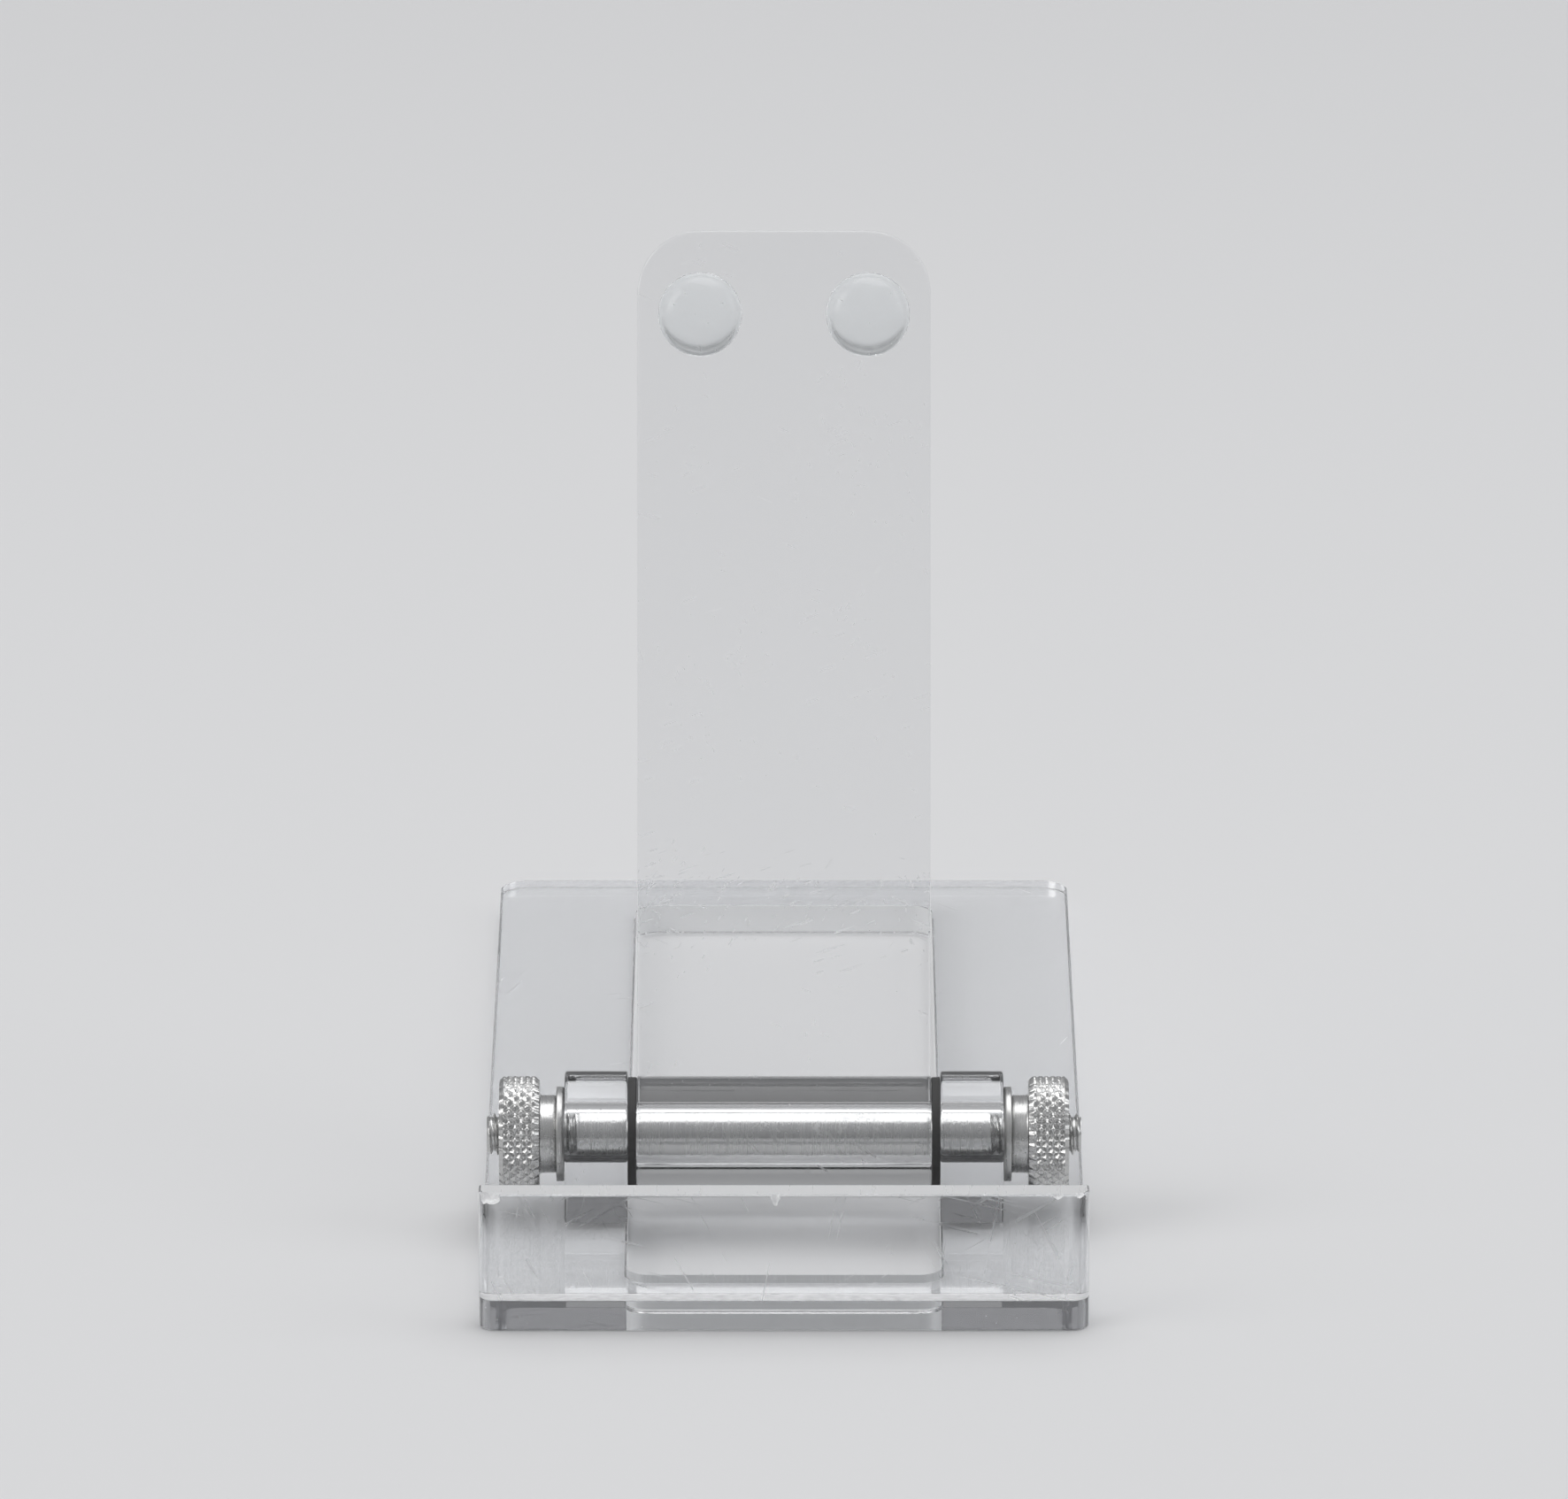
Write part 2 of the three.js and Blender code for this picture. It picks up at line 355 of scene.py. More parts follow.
def math_node(tree, operation, a, b, clamp=False):
    node = tree.nodes.new("ShaderNodeMath")
    node.operation = operation
    node.use_clamp = clamp
    for socket, value in zip(node.inputs, (a, b)):
        if isinstance(value, (int, float)):
            socket.default_value = value
        else:
            tree.links.new(value, socket)
    return node.outputs[0]


def ramp(tree, value, low, high, out_low=0.0, out_high=1.0):
    """value from low to high becomes out_low to out_high, and no further."""
    node = tree.nodes.new("ShaderNodeMapRange")
    node.inputs["From Min"].default_value = low
    node.inputs["From Max"].default_value = high
    node.inputs["To Min"].default_value = out_low
    node.inputs["To Max"].default_value = out_high
    tree.links.new(value, node.inputs["Value"])
    return node.outputs["Result"]


def tinted(tree, shader, factor, low, high):
    """The base colour goes from low to high with factor."""
    node = tree.nodes.new("ShaderNodeMix")
    node.data_type = "RGBA"
    colours = [socket for socket in node.inputs if socket.type == "RGBA"]
    colours[0].default_value = (*low, 1)
    colours[1].default_value = (*high, 1)
    tree.links.new(factor, node.inputs[0])
    mixed = next(socket for socket in node.outputs if socket.type == "RGBA")
    tree.links.new(mixed, shader.inputs["Base Color"])


def object_space(tree, scale=(1, 1, 1), rotation=(0, 0, 0), offset=(0, 0, 0)):
    """Object coordinates, moved, turned and only then scaled, so that scale follows the turned axes."""
    coordinates = tree.nodes.new("ShaderNodeTexCoord")
    mapping = tree.nodes.new("ShaderNodeMapping")
    mapping.vector_type = "TEXTURE"
    mapping.inputs["Location"].default_value = offset
    mapping.inputs["Rotation"].default_value = rotation
    mapping.inputs["Scale"].default_value = [1 / s for s in scale]
    tree.links.new(coordinates.outputs["Object"], mapping.inputs["Vector"])
    return mapping.outputs["Vector"]


def noise_texture(tree, vector, scale, detail=2.0, roughness=0.5):
    node = tree.nodes.new("ShaderNodeTexNoise")
    node.inputs["Scale"].default_value = scale
    node.inputs["Detail"].default_value = detail
    node.inputs["Roughness"].default_value = roughness
    tree.links.new(vector, node.inputs["Vector"])
    return node.outputs["Fac"]


def hairline_scratches(tree, rotations, threshold):
    """0 to 1: thin straight scratches, one set for each rotation, broken up along their length. A higher
    threshold leaves fewer."""
    total = None
    for i, rotation in enumerate(rotations):
        stretched = object_space(tree, (60, 2400, 2400), rotation, (0.31 * i, 0.17 * i, 0.23 * i))
        lines = ramp(tree, noise_texture(tree, stretched, 1.0, 1.0), threshold, threshold + 0.03)
        patches = object_space(tree, (1, 1, 1), (0, 0, 0), (0.7 * i, 0, 0))
        broken = ramp(tree, noise_texture(tree, patches, 90.0, 2.0), 0.48, 0.62)
        one = math_node(tree, "MULTIPLY", lines, broken)
        total = one if total is None else math_node(tree, "MAXIMUM", total, one)
    return total


def dust_specks(tree, scale, size, share):
    """0 to 1: tiny round specks in a share of the cells."""
    cells = tree.nodes.new("ShaderNodeTexVoronoi")
    cells.inputs["Scale"].default_value = scale
    tree.links.new(object_space(tree), cells.inputs["Vector"])
    near = ramp(tree, cells.outputs["Distance"], size, size * 0.4)
    channels = tree.nodes.new("ShaderNodeSeparateColor")
    tree.links.new(cells.outputs["Color"], channels.inputs["Color"])
    chosen = ramp(tree, channels.outputs[0], share, share - 0.02)
    return math_node(tree, "MULTIPLY", near, chosen, clamp=True)


def add_bump(tree, shader, height, distance):
    bump = tree.nodes.new("ShaderNodeBump")
    bump.inputs["Strength"].default_value = 1.0
    bump.inputs["Distance"].default_value = distance
    tree.links.new(height, bump.inputs["Height"])
    tree.links.new(bump.outputs["Normal"], shader.inputs["Normal"])


def let_lamps_through(tree, shader, output, colour):
    """Rays from lamps pass straight, so the clear piece casts only a faint shadow."""
    straight = tree.nodes.new("ShaderNodeBsdfTransparent")
    straight.inputs["Color"].default_value = (*colour, 1)
    paths = tree.nodes.new("ShaderNodeLightPath")
    mix = tree.nodes.new("ShaderNodeMixShader")
    tree.links.new(paths.outputs["Is Shadow Ray"], mix.inputs["Fac"])
    tree.links.new(shader.outputs["BSDF"], mix.inputs[1])
    tree.links.new(straight.outputs["BSDF"], mix.inputs[2])
    tree.links.new(mix.outputs["Shader"], output.inputs["Surface"])


def darken_with_depth(tree, output):
    """Clear from face to face, grey along the length of a sheet."""
    depth = tree.nodes.new("ShaderNodeVolumeAbsorption")
    depth.inputs["Color"].default_value = DEPTH_TINT
    depth.inputs["Density"].default_value = DEPTH_DENSITY
    tree.links.new(depth.outputs["Volume"], output.inputs["Volume"])


def polished_acrylic(
    name, rotations, threshold=0.7, dust_share=0.07, waviness=0.02 * MM, mark_depth=0.0036 * MM
):
    """Clear sheet with scratches in the directions of rotations, dust, smears and a slight waviness."""
    material, tree, shader, output = new_material(name)
    shader.inputs["Base Color"].default_value = (0.975, 0.978, 0.982, 1)
    shader.inputs["Transmission Weight"].default_value = 1.0
    shader.inputs["IOR"].default_value = ACRYLIC_IOR
    scratches = hairline_scratches(tree, rotations, threshold)
    dust = dust_specks(tree, 560.0, 0.05, dust_share)
    marks = math_node(tree, "MAXIMUM", scratches, dust, clamp=True)
    smear = noise_texture(tree, object_space(tree), 70.0, 3.0)
    haze = ramp(tree, smear, 0.5, 0.8, 0.0, 0.02)
    marked = ramp(tree, marks, 0.0, 1.0, 0.0, 0.3)
    tree.links.new(math_node(tree, "ADD", haze, marked, clamp=True), shader.inputs["Roughness"])
    waves = noise_texture(tree, object_space(tree), 30.0, 1.0)
    cut_in = math_node(tree, "MULTIPLY", marks, -mark_depth / waviness)
    add_bump(tree, shader, math_node(tree, "ADD", waves, cut_in), waviness)
    let_lamps_through(tree, shader, output, (0.9, 0.91, 0.925))
    darken_with_depth(tree, output)
    return material


def rough_acrylic(name, clearness, roughness, grain_scale, grain_depth):
    """Acrylic where it was sawn or chipped: the same stuff with a frosted, ridged surface."""
    material, tree, shader, output = new_material(name)
    shader.inputs["Base Color"].default_value = (0.95, 0.955, 0.96, 1)
    shader.inputs["Transmission Weight"].default_value = clearness
    shader.inputs["IOR"].default_value = ACRYLIC_IOR
    grain = noise_texture(tree, object_space(tree, grain_scale), 1.0, 3.0)
    frosting = ramp(tree, grain, 0.3, 0.7, roughness * 0.75, roughness * 1.25)
    tree.links.new(frosting, shader.inputs["Roughness"])
    add_bump(tree, shader, grain, grain_depth)
    let_lamps_through(tree, shader, output, (0.88, 0.885, 0.9))
    darken_with_depth(tree, output)
    return material


def clear_cement():
    """Where two pieces are cemented, light passes from one to the other as if they were one piece."""
    material, tree, shader, output = new_material("cement")
    tree.nodes.remove(shader)
    clear = tree.nodes.new("ShaderNodeBsdfTransparent")
    tree.links.new(clear.outputs["BSDF"], output.inputs["Surface"])
    return material


def turned_stainless(name, tone, roughness):
    """Turned stainless steel: fine rings about the hinge axis, with handling marks."""
    material, tree, shader, _ = new_material(name)
    shader.inputs["Metallic"].default_value = 1.0
    stains = noise_texture(tree, object_space(tree), 260.0, 4.0)
    tinted(tree, shader, stains, [c * 0.86 for c in tone], tone)
    grain = noise_texture(tree, object_space(tree, (5200, 260, 260)), 1.0, 3.0)
    marks = hairline_scratches(tree, ((0.4, 0.9, 0.2), (1.2, 0.3, 2.1)), 0.63)
    turned = ramp(tree, grain, 0.3, 0.7, roughness * 0.75, roughness * 1.3)
    marked = math_node(tree, "MULTIPLY", marks, 0.2)
    tree.links.new(math_node(tree, "ADD", turned, marked, clamp=True), shader.inputs["Roughness"])
    add_bump(tree, shader, math_node(tree, "SUBTRACT", grain, marks), 0.006 * MM)
    return material


def black_fibre():
    material, tree, shader, _ = new_material("black_fibre")
    grain = noise_texture(tree, object_space(tree), 2400.0, 4.0, 0.65)
    tinted(tree, shader, grain, (0.018, 0.018, 0.019), (0.06, 0.059, 0.058))
    tree.links.new(ramp(tree, grain, 0.3, 0.7, 0.55, 0.8), shader.inputs["Roughness"])
    add_bump(tree, shader, grain, 0.04 * MM)
    return material


def clear_silicone():
    """Slightly cloudy, and dusty, because dust clings to it."""
    material, tree, shader, output = new_material("clear_silicone")
    shader.inputs["Base Color"].default_value = (0.93, 0.945, 0.95, 1)
    shader.inputs["Transmission Weight"].default_value = 0.9
    shader.inputs["IOR"].default_value = SILICONE_IOR
    dust = dust_specks(tree, 1500.0, 0.16, 0.3)
    cloud = noise_texture(tree, object_space(tree), 900.0, 3.0)
    rough = ramp(tree, cloud, 0.3, 0.7, 0.1, 0.24)
    dusty = math_node(tree, "MULTIPLY", dust, 0.3)
    tree.links.new(math_node(tree, "ADD", rough, dusty, clamp=True), shader.inputs["Roughness"])
    add_bump(tree, shader, math_node(tree, "ADD", cloud, dust), 0.02 * MM)
    let_lamps_through(tree, shader, output, (0.8, 0.81, 0.82))
    return material


# ---- Pieces ----

def base_frame(sheet, cement, cut_wall):
    """Polished all round the outside. The walls of its opening are left as the router leaves them."""
    x = BASE_HIGH[0]
    outer_radii = (FRONT_CORNER_R, BACK_CORNER_R, BACK_CORNER_R, FRONT_CORNER_R)
    outline = rounded_rectangle(-x, BASE_LOW[1], x, BASE_HIGH[1], outer_radii)
    front, back = BASE_LOW[1] + FRONT_BAR, BASE_HIGH[1] - BACK_BAR
    opening = rounded_rectangle(-CHEEK_INNER_X, front, CHEEK_INNER_X, back, [OPENING_CORNER_R] * 4)
    bm = prism(outline, 0.0, SHEET, upright, hole=opening, high_edge=SEAM_EDGE_R)
    for side in ("left", "right"):
        low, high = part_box(f"hinge_cheek_{side}")
        foot_low = (low[0] + EDGE_R, low[1] + EDGE_R, 0)
        foot_high = (high[0] - EDGE_R, high[1] - EDGE_R, 0)
        cement_patch(bm, 2, SHEET, foot_low, foot_high)
    materials = [sheet, cement, cut_wall]
    for face in bm.faces:
        centre = face.calc_center_median()
        in_x = abs(centre.x) < CHEEK_INNER_X + SAME_PLANE
        in_y = front - SAME_PLANE < centre.y < back + SAME_PLANE
        if in_x and in_y and EDGE_R < centre.z < SHEET - EDGE_R:
            face.material_index = materials.index(cut_wall)
    return finish_mesh("acrylic_base_frame", bm, materials, "base", "base_frame")


def chip_cutter(centre, radii, seed, material_index):
    """A lumpy ellipsoid that takes a bite out of an edge. Its faces have the given material index."""
    bm = bmesh.new()
    bmesh.ops.create_icosphere(bm, subdivisions=4, radius=1.0)
    for vert in bm.verts:
        lumps = noise.noise(vert.co * 1.7 + Vector((seed, 0, 0)))
        grain = noise.noise(vert.co * 5 + Vector((0, seed, 0)))
        vert.co *= 1 + 0.3 * (lumps + 0.35 * grain)
        vert.co = Vector(centre) + Vector(vert.co[i] * radii[i] for i in range(3))
    for face in bm.faces:
        face.material_index = material_index
    mesh = bpy.data.meshes.new("chip")
    bm.to_mesh(mesh)
    bm.free()
    for _ in range(material_index + 1):
        mesh.materials.append(None)
    cutter = bpy.data.objects.new("chip", mesh)
    bpy.context.scene.collection.objects.link(cutter)
    return cutter


def cut_chips(piece, chips, material_index):
    """Takes each (centre, radii, seed) chip out of the piece's mesh."""
    for centre, radii, seed in chips:
        cutter = chip_cutter(centre, radii, seed, material_index)
        bite = piece.modifiers.new("chip", "BOOLEAN")
        bite.operation = "DIFFERENCE"
        bite.solver = "EXACT"
        bite.object = cutter
        graph = bpy.context.evaluated_depsgraph_get()
        cut = bpy.data.meshes.new_from_object(piece.evaluated_get(graph))
        piece.modifiers.clear()
        piece.data = cut
        bpy.data.objects.remove(cutter)
    bm = bmesh.new()
    bm.from_mesh(piece.data)
    crease(bm, math.radians(28))
    bm.to_mesh(piece.data)
    bm.free()


def front_lip(sheet, sawn, chipped, glued):
    """Sawn along its top, frosted where it is glued, with one large chip, a nick and two small chips."""
    x, front, top = LIP_HIGH[0], LIP_LOW[1], LIP_HIGH[2]
    foot = LIP_LOW[2] + SEAM
    radii = (FRONT_CORNER_R, LIP_BACK_CORNER_R, LIP_BACK_CORNER_R, FRONT_CORNER_R)
    outline = rounded_rectangle(-x, front, x, LIP_HIGH[1], radii)
    bm = prism(outline, foot, top, upright, low_edge=SEAM_EDGE_R)
    materials = [sheet, sawn, chipped, glued]
    for face in bm.faces:
        height = face.calc_center_median().z
        if height > top - SAME_PLANE:
            face.material_index = materials.index(sawn)
        if height < foot + SAME_PLANE:
            face.material_index = materials.index(glued)
    piece = finish_mesh("acrylic_front_lip", bm, materials, "base", "front_lip")
    left_corner = ((-x + 0.7 * MM, front + 0.2 * MM, top), (1.35 * MM, 0.75 * MM, 1.0 * MM), 3.1)
    middle_nick = ((-0.8 * MM, front, top), (0.42 * MM, 0.4 * MM, 0.95 * MM), 7.7)
    right_inner = ((x - 3.0 * MM, front, top), (0.45 * MM, 0.35 * MM, 0.4 * MM), 12.4)
    right_outer = ((x - 0.9 * MM, front + 0.25 * MM, top), (0.4 * MM, 0.4 * MM, 0.32 * MM), 21.9)
    cut_chips(piece, [left_corner, middle_nick, right_inner, right_outer], materials.index(chipped))
    return piece


def hinge_cheek(side, block, cement):
    name = f"hinge_cheek_{side}"
    low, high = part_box(name)
    radius = (high[1] - low[1]) / 2
    foot = SHEET + SEAM - PIVOT.z
    outline = [(-radius, foot), (radius, foot)] + arc((0, 0), radius, 0, 2 * QUARTER, 3 * ARC_STEPS)
    outline = spread(outline, BLOCK_STEP)
    bore = hole_to_match(outline, ROD_R + BORE_CLEARANCE)
    bm = prism(outline, low[0], high[0], sideways, hole=bore)
    cement_patch(bm, 2, SHEET + SEAM, low, high)
    return finish_mesh(f"acrylic_cheek_{side}", bm, [block, cement], "base", name)


def hinge_knuckle(block, cement):
    low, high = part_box("hinge_knuckle")
    back = REST_OFFSET - SEAM
    outline = [(back, -KNUCKLE_R), (back, KNUCKLE_R)]
    outline += arc((0, 0), KNUCKLE_R, QUARTER, 3 * QUARTER, 3 * ARC_STEPS)
    outline = spread(outline, BLOCK_STEP)

    def place(y, z, x):
        return leaning((x, y, z))

    bore = hole_to_match(outline, ROD_R + BORE_CLEARANCE)
    bm = prism(outline, low[0], high[0], place, hole=bore)
    cement_patch(bm, 1, back, (low[0], 0, REST_EDGE_Z), (high[0], 0, KNUCKLE_R), unleaning)
    return finish_mesh("acrylic_knuckle", bm, [block, cement], "back_support", "hinge_knuckle")


def back_rest(sheet, cement):
    low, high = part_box("back_rest")
    radii = (REST_FOOT_R, REST_TOP_R, REST_TOP_R, REST_FOOT_R)
    outline = rounded_rectangle(low[0], -REST_FOOT, high[0], REST_LENGTH, radii)

    def place(x, z, depth):
        return leaning((x, REST_OFFSET + SHEET - depth, z))

    bm = prism(outline, 0.0, SHEET, place)
    patch_low = (low[0], 0, REST_EDGE_Z)
    patch_high = (high[0], 0, KNUCKLE_R - EDGE_R)
    cement_patch(bm, 1, REST_OFFSET, patch_low, patch_high, unleaning)
    return finish_mesh("acrylic_back_rest", bm, [sheet, cement], "back_support", "back_rest")


def washer(side, sign, kind, material, edge):
    """A ring, well rounded on its outer side and barely on its inner side, as stamping leaves it."""
    name = f"{kind}_washer_{side}"
    low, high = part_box(name)
    inner_x = min(abs(low[0]), abs(high[0]))
    thickness = high[0] - low[0]
    outer_r = (high[2] - low[2]) / 2
    bore = ROD_R + BORE_CLEARANCE
    burr = edge * 0.4
    profile = [(t, outer_r - d) for d, t in rounded_edge(edge)]
    profile += [(thickness - t, outer_r - d) for d, t in reversed(rounded_edge(burr))]
    profile += [(thickness, bore + burr), (thickness - burr, bore), (burr, bore), (0, bore + burr)]
    loops = [ring(sign * (inner_x + t), lambda a, r=radius: r, ROUND_STEPS) for t, radius in profile]
    return finish_mesh(f"washer_{kind}_{side}", round_solid(loops), [material], "base", name)


def between_0_and_1(value):
    return min(1.0, max(0.0, value))


def clamp_rod(steel):
    """A stud with a chamfer and a thread at each end."""
    end = ROD_HIGH[0]
    start = CHEEK_OUTER_X - 2 * THREAD_PITCH

    def thread_radius(x, a):
        turn = (abs(x) / THREAD_PITCH - a / TURN * math.copysign(1, x)) % 1.0
        ridge = between_0_and_1(THREAD_CREST - abs(2 * turn - 1) * THREAD_FLANK)
        fade = between_0_and_1((abs(x) - start) / THREAD_PITCH)
        inside = between_0_and_1((end - abs(x)) / ROD_CHAMFER)
        return ROD_R - max(THREAD_DEPTH * (1 - ridge) * fade, ROD_CHAMFER_DEPTH * (1 - inside))

    rows = int((end - start) / (THREAD_PITCH / THREAD_ROWS))
    right = [start + (end - start) * i / rows for i in range(rows + 1)]
    stations = [-x for x in reversed(right)] + right
    loops = [ring(x, lambda a, x=x: thread_radius(x, a), ROD_STEPS) for x in stations]
    bm = round_solid(loops, closed=False, sharp_angle=math.radians(60))
    return finish_mesh("steel_rod", bm, [steel], "base", "clamp_rod")


def thumb_nut(side, sign, steel):
    """A diamond-knurled rim with chamfered ends on a plain boss, and a shallow recess in its outer end."""
    name = f"thumb_nut_{side}"
    low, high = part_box(name)
    inner_x = min(abs(low[0]), abs(high[0]))
    rim_r = (high[2] - low[2]) / 2 - NUT_RIM_INSET
    rim_start, rim_end = NUT_BOSS_LENGTH, high[0] - low[0]
    bore = ROD_R + NUT_BORE_CLEARANCE
    shoulder_r = rim_r - NUT_CHAMFER
    recess = rim_end - NUT_RECESS
    edge_middle, fillet_middle = ARC_MIDDLE * NUT_BOSS_EDGE_R, ARC_MIDDLE * NUT_FILLET_R

    def knurled(along, a):
        across = KNURLS * a / TURN
        travel = (along - rim_start) * KNURLS / (TURN * rim_r)
        groove = min(abs(((across + travel) % 1.0) - 0.5), abs(((across - travel) % 1.0) - 0.5))
        return rim_r - KNURL_DEPTH * (1 - min(1.0, groove * KNURL_FLANK))

    boss = [
        (0.0, bore + NUT_LEAD_IN),
        (0.0, NUT_BOSS_R - NUT_BOSS_EDGE_R),
        (edge_middle, NUT_BOSS_R - edge_middle),
        (NUT_BOSS_EDGE_R, NUT_BOSS_R),
        (rim_start - NUT_FILLET_R, NUT_BOSS_R),
        (rim_start - fillet_middle, NUT_BOSS_R + fillet_middle),
        (rim_start, NUT_BOSS_R + NUT_FILLET_R),
        (rim_start, shoulder_r),
    ]
    outer_end = [
        (rim_end, shoulder_r),
        (rim_end, NUT_RECESS_R),
        (recess, NUT_RECESS_FLOOR_R),
        (recess, bore + NUT_MOUTH),
        (recess - NUT_MOUTH, bore),
        (NUT_LEAD_IN, bore),
    ]
    knurl_low, knurl_high = rim_start + NUT_CHAMFER, rim_end - NUT_CHAMFER
    rows = [knurl_low + (knurl_high - knurl_low) * i / KNURL_ROWS for i in range(KNURL_ROWS + 1)]

    def plain_rings(profile):
        return [ring(sign * (inner_x + t), lambda a, r=radius: r, NUT_STEPS) for t, radius in profile]

    rim = [ring(sign * (inner_x + row), lambda a, row=row: knurled(row, a), NUT_STEPS) for row in rows]
    loops = plain_rings(boss) + rim + plain_rings(outer_end)
    bm = round_solid(loops, sharp_angle=math.radians(40))
    return finish_mesh(f"knurled_nut_{side}", bm, [steel], f"nut_{side}", name)


def bumper(side, sign, silicone):
    """A moulded pad: a thin flange, a rounded side and a flat crown."""
    centre = Vector((sign * BUMPER_X, REST_OFFSET - SEAM, BUMPER_UP))
    profile = [
        (BUMPER_R - BUMPER_FOOT_EDGE, 0.0),
        (BUMPER_R, BUMPER_FOOT_EDGE),
        (BUMPER_R, BUMPER_FLANGE_EDGE),
        (BUMPER_R - BUMPER_FLANGE_EDGE, BUMPER_FLANGE),
    ]
    for i in range(1, BUMPER_ROWS):
        a = QUARTER * i / BUMPER_ROWS
        height = BUMPER_FLANGE + (BUMPER_HEIGHT - BUMPER_FLANGE) * math.sin(a) ** 0.9
        profile.append((BUMPER_CROWN_R * math.cos(a) ** 0.75, height))
    profile.append((BUMPER_TOP_R, BUMPER_HEIGHT))
    angles = [TURN * j / BUMPER_STEPS for j in range(BUMPER_STEPS)]
    loops = [
        [leaning(centre + Vector((r * math.cos(a), -height, r * math.sin(a)))) for a in angles]
        for r, height in profile
    ]
    bm = round_solid(loops, closed=False)
    name = f"bumper_{side}"
    return finish_mesh(f"silicone_{name}", bm, [silicone], "back_support", name)


# ---- Stage ----

def floor():
    bm = bmesh.new()
    bmesh.ops.create_circle(bm, cap_ends=True, radius=8.0, segments=64)
    mesh = bpy.data.meshes.new("floor")
    bm.to_mesh(mesh)
    bm.free()
    disc = bpy.data.objects.new("floor", mesh)
    disc.location.z = -0.04 * MM
    bpy.context.scene.collection.objects.link(disc)
    material, _, shader, _ = new_material("paper")
    shader.inputs["Base Color"].default_value = (0.71, 0.71, 0.715, 1)
    shader.inputs["Roughness"].default_value = 0.9
    mesh.materials.append(material)


def surroundings():
    """A grey room that gets brighter upwards."""
    world = bpy.data.worlds.new("studio")
    bpy.context.scene.world = world
    world.use_nodes = True
    tree = world.node_tree
    background = tree.nodes["Background"]
    background.inputs["Color"].default_value = (0.95, 0.96, 0.98, 1)
    direction = tree.nodes.new("ShaderNodeSeparateXYZ")
    tree.links.new(tree.nodes.new("ShaderNodeTexCoord").outputs["Generated"], direction.inputs["Vector"])
    brightness = ramp(tree, direction.outputs["Z"], 0.05, 0.85, 0.3, 0.52)
    tree.links.new(brightness, background.inputs["Strength"])


def softbox(name, place, target, size, power, colour=(1, 1, 1)):
    light = bpy.data.lights.new(name, "AREA")
    light.shape = "RECTANGLE"
    light.size, light.size_y = size
    light.energy = power
    light.color = colour
    lamp = bpy.data.objects.new(name, light)
    lamp.location = place
    lamp.rotation_euler = (Vector(target) - Vector(place)).to_track_quat("-Z", "Y").to_euler()
    bpy.context.scene.collection.objects.link(lamp)


def studio():
    floor()
    surroundings()
    softbox("overhead", (0.1, 0.12, 1.1), (0, 0, 0), (1.1, 0.9), 5.5)
    softbox("key_left", (-1.0, -0.5, 0.75), (0, 0, 0.05), (0.7, 0.9), 4.2, (1.0, 0.99, 0.98))
    softbox("fill_right", (1.1, -0.2, 0.6), (0, 0, 0.05), (0.6, 0.8), 2.0, (0.97, 0.985, 1.0))
    scene = bpy.context.scene
    scene.view_settings.view_transform = "Standard"
    # light is guided a long way through the sheets before it comes out at an edge
    scene.cycles.max_bounces = LIGHT_BOUNCES
    scene.cycles.glossy_bounces = LIGHT_BOUNCES
    scene.cycles.transmission_bounces = LIGHT_BOUNCES
    scene.cycles.transparent_max_bounces = LIGHT_BOUNCES


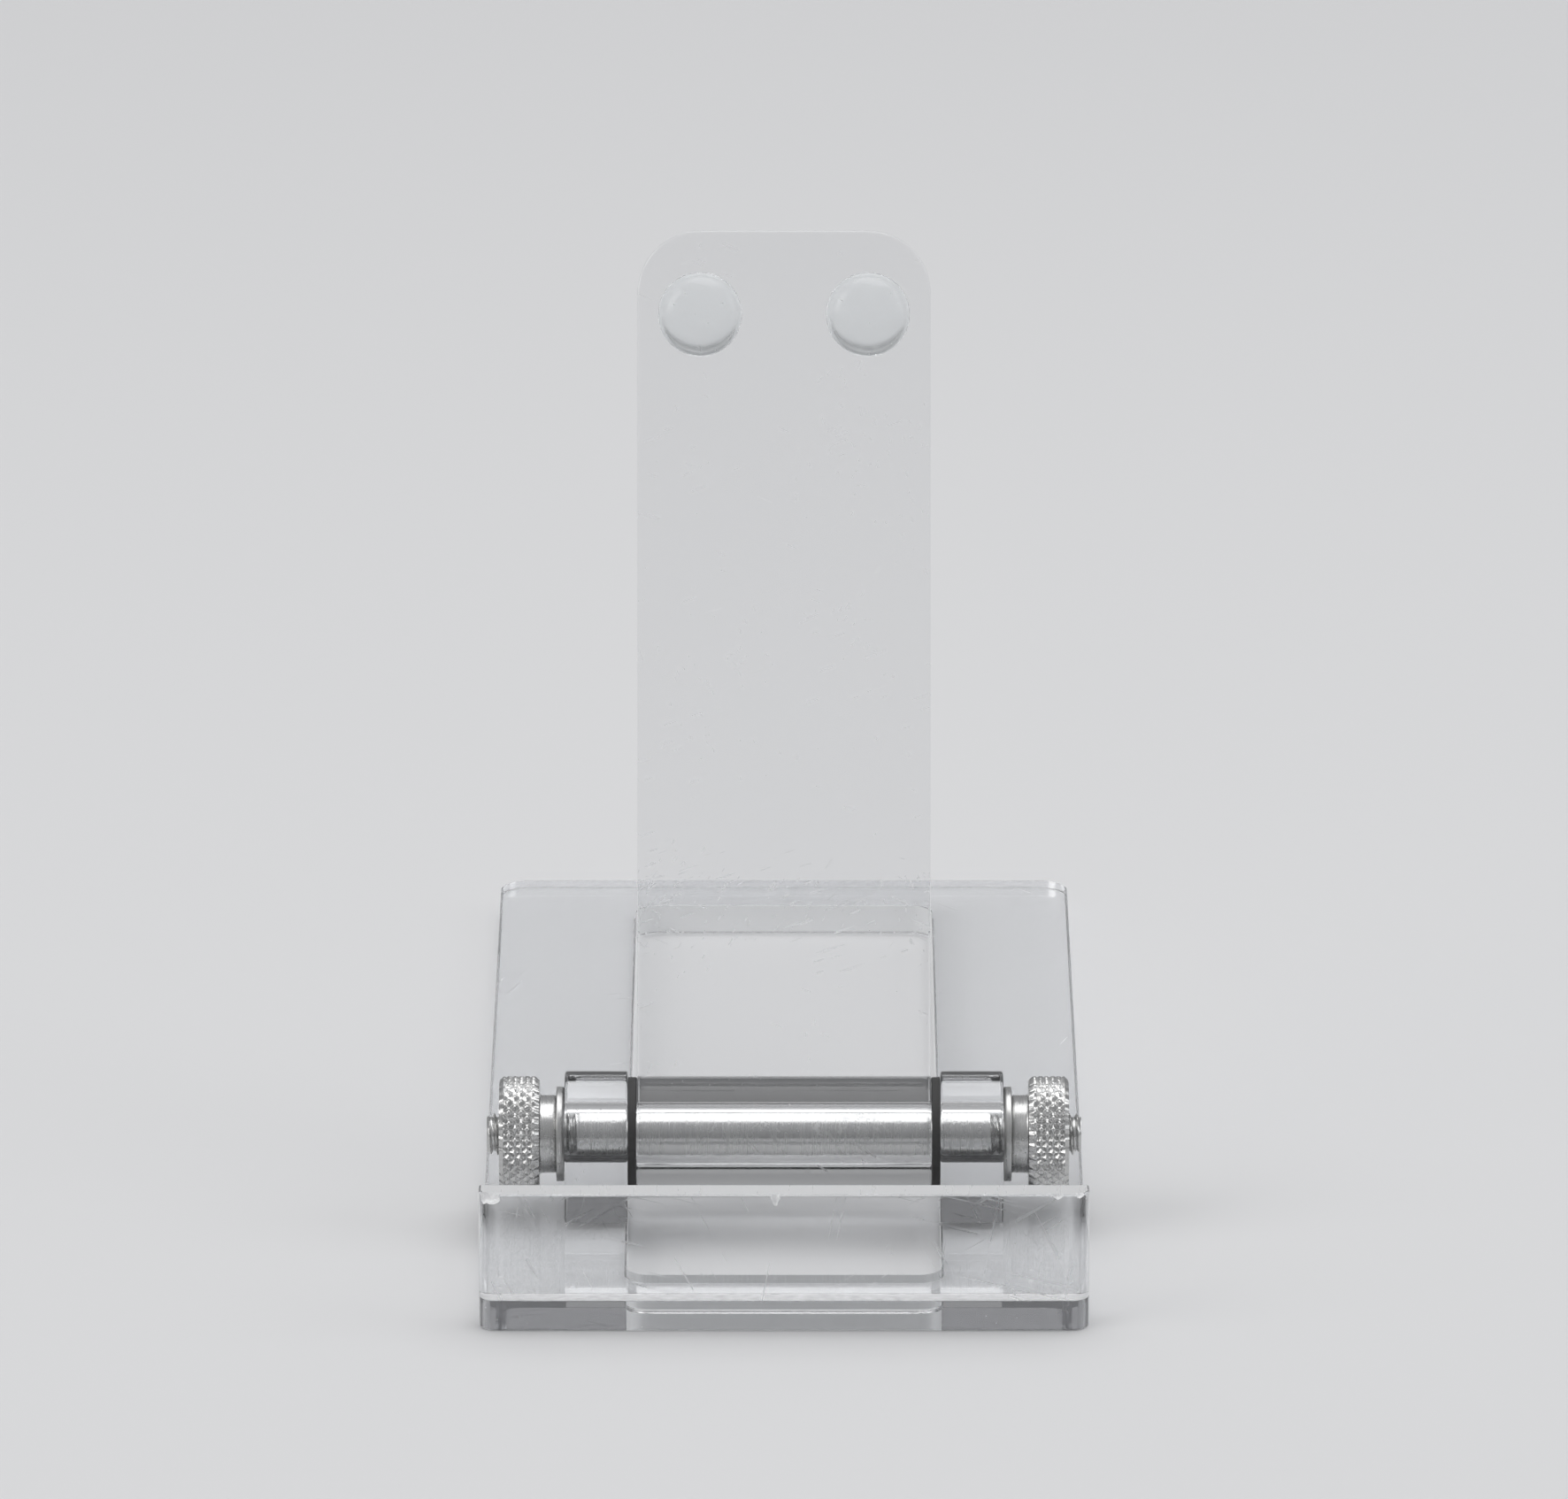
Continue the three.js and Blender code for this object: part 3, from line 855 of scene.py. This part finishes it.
def camera():
    """Looks along +Y from far off, 18 degrees down, with the whole stand in view."""
    data = bpy.data.cameras.new("camera")
    data.lens = 357
    data.sensor_width = 36
    data.clip_start = 0.01
    data.clip_end = 50
    cam = bpy.data.objects.new("camera", data)
    bpy.context.scene.collection.objects.link(cam)
    bpy.context.scene.camera = cam
    elevation = math.radians(18)
    distance = 1.5
    target = Vector((0, 0, 0.037))
    away = Vector((0, -math.cos(elevation), math.sin(elevation)))
    cam.location = target + away * distance
    cam.rotation_euler = (-away).to_track_quat("-Z", "Y").to_euler()


# ---- Build ----

def build():
    flat_marks = [(0, 0, a) for a in (0.35, 1.25, 2.3, 2.9)]
    upright_marks = [(0, a, 0) for a in (0.25, 1.1, 1.75, 2.6)]
    leaning_marks = [(-LEAN, a, 0) for a in (0.4, 1.35, 2.1, 2.8)]
    block_marks = [(0.4, 0.6, 0.3), (1.2, 0.3, 1.4)]
    base_sheet = polished_acrylic("acrylic_base", flat_marks, 0.755, 0.03, 0.002 * MM, 0.0012 * MM)
    lip_sheet = polished_acrylic("acrylic_lip", upright_marks, 0.68, 0.16)
    rest_sheet = polished_acrylic("acrylic_rest", leaning_marks)
    block = polished_acrylic("acrylic_block", block_marks, 0.72, 0.05)
    sawn = rough_acrylic("acrylic_sawn_edge", 0.35, 0.34, (3400, 160, 160), 0.01 * MM)
    chipped = rough_acrylic("acrylic_chipped", 0.1, 0.3, (1300, 1300, 1300), 0.09 * MM)
    glued = rough_acrylic("acrylic_glued_edge", 1.0, 0.5, (900, 900, 900), 0.02 * MM)
    cut_wall = rough_acrylic("acrylic_cut_wall", 0.1, 0.4, (1100, 1100, 1100), 0.012 * MM)
    cement = clear_cement()
    steel = turned_stainless("turned_steel", (0.62, 0.62, 0.615), 0.24)
    washer_steel = turned_stainless("washer_steel", (0.58, 0.58, 0.575), 0.3)
    fibre = black_fibre()
    silicone = clear_silicone()

    base_frame(base_sheet, cement, cut_wall)
    front_lip(lip_sheet, sawn, chipped, glued)
    hinge_knuckle(block, cement)
    back_rest(rest_sheet, cement)
    clamp_rod(steel)
    for side, sign in (("left", -1), ("right", 1)):
        hinge_cheek(side, block, cement)
        washer(side, sign, "friction", fibre, 0.12 * MM)
        washer(side, sign, "steel", washer_steel, 0.25 * MM)
        thumb_nut(side, sign, steel)
        bumper(side, sign, silicone)


build()
studio()
camera()
